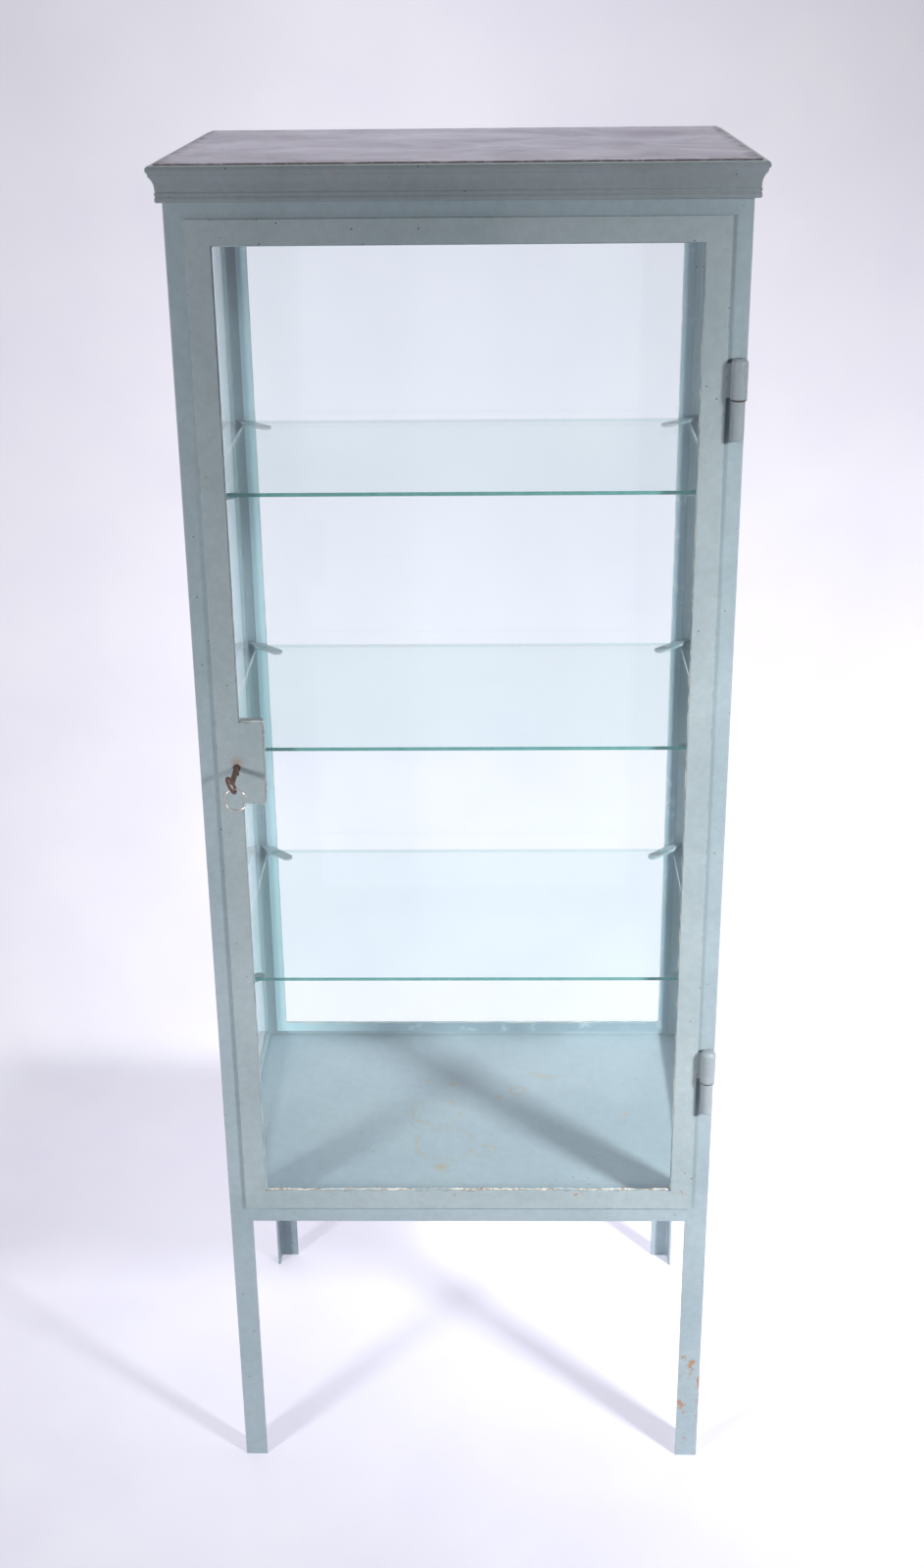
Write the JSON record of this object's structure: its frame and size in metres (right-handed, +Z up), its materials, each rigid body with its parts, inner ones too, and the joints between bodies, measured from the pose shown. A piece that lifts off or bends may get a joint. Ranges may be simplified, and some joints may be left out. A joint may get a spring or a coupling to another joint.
{
  "type": "glazed display cabinet",
  "caption": "Tall glazed steel display cabinet on angle legs, with a hinged glass door, key lock, glass shelves and a moulded cornice.",
  "frame": {"origin": "on the floor, at the middle of the outline seen from above, key included", "axes": "+Z up, -Y out of the door, +X towards the hinge side"},
  "size_m": [0.5846, 0.4698, 1.5405],
  "materials": {
    "frame_paint": "aged satin enamel",
    "floor_paint": "aged satin enamel, stained",
    "hinge_paint": "worn enamel",
    "bare_sheet": "dull, worn bare",
    "window_glass": "clear polished",
    "shelf_glass": "clear, green edges",
    "putty": "dry, cracked",
    "pin_steel": "turned",
    "lock_steel": "dull",
    "key_iron": "rusty",
    "ring_steel": "bright wire"
  },
  "bodies": {
    "cabinet": {"front_left_post": "frame_paint", "front_right_post": "frame_paint", "rear_left_post": "frame_paint", "rear_right_post": "frame_paint", "front_top_rail": "frame_paint", "rear_top_rail": "frame_paint", "left_top_rail": "frame_paint", "right_top_rail": "frame_paint", "front_bottom_rail": "frame_paint", "rear_bottom_rail": "frame_paint", "left_bottom_rail": "frame_paint", "right_bottom_rail": "frame_paint", "rear_fascia": "frame_paint", "floor_pan": "floor_paint", "top_plate": "bare_sheet", "cornice_front": "frame_paint", "cornice_left": "frame_paint", "cornice_right": "frame_paint", "back_glass": "window_glass", "left_glass": "window_glass", "right_glass": "window_glass", "back_putty": "putty", "left_putty": "putty", "right_putty": "putty", "upper_shelf": "shelf_glass", "middle_shelf": "shelf_glass", "lower_shelf": "shelf_glass", "upper_front_left_support": "frame_paint", "upper_front_right_support": "frame_paint", "upper_rear_left_support": "frame_paint", "upper_rear_right_support": "frame_paint", "middle_front_left_support": "frame_paint", "middle_front_right_support": "frame_paint", "middle_rear_left_support": "frame_paint", "middle_rear_right_support": "frame_paint", "lower_front_left_support": "frame_paint", "lower_front_right_support": "frame_paint", "lower_rear_left_support": "frame_paint", "lower_rear_right_support": "frame_paint", "upper_hinge_post_knuckle": "hinge_paint", "upper_hinge_pin": "pin_steel", "lower_hinge_post_knuckle": "hinge_paint", "lower_hinge_pin": "pin_steel"},
    "door": {"door_hinge_stile": "frame_paint", "door_lock_stile": "frame_paint", "door_top_rail": "frame_paint", "door_bottom_rail": "frame_paint", "door_glass": "window_glass", "door_putty": "putty", "lock_plate": "frame_paint", "lock_case": "lock_steel", "lock_cover": "lock_steel", "upper_hinge_door_knuckle": "hinge_paint", "lower_hinge_door_knuckle": "hinge_paint"},
    "bolt": {"lock_bolt": "lock_steel"},
    "key": {"key": "key_iron"},
    "key_ring": {"key_ring": "ring_steel"}
  },
  "joints": [
    {"name": "door_hinge", "type": "hinge", "parent": "cabinet", "child": "door", "pos_m": [0.272, -0.1821, 0.93], "axis": [0, 0, 1], "range_deg": [0, 175]},
    {"name": "key_turn", "type": "hinge", "parent": "door", "child": "key", "pos_m": [-0.2404, -0.1771, 0.928], "axis": [0, -1, 0], "range_deg": [-27, 63]},
    {"name": "bolt_slide", "type": "slide", "parent": "door", "child": "bolt", "axis": [-1, 0, 0], "range_m": [-0.0028, 0.0064]},
    {"name": "ring_swing", "type": "hinge", "parent": "key", "child": "key_ring", "pos_m": [-0.23654, -0.2248, 0.92043], "axis": [0, 1, 0], "range_deg": [-75, 75]}
  ],
  "couplings": [
    {"joint": "bolt_slide", "follows": "key_turn", "m_per_rad": 0.00573}
  ]
}
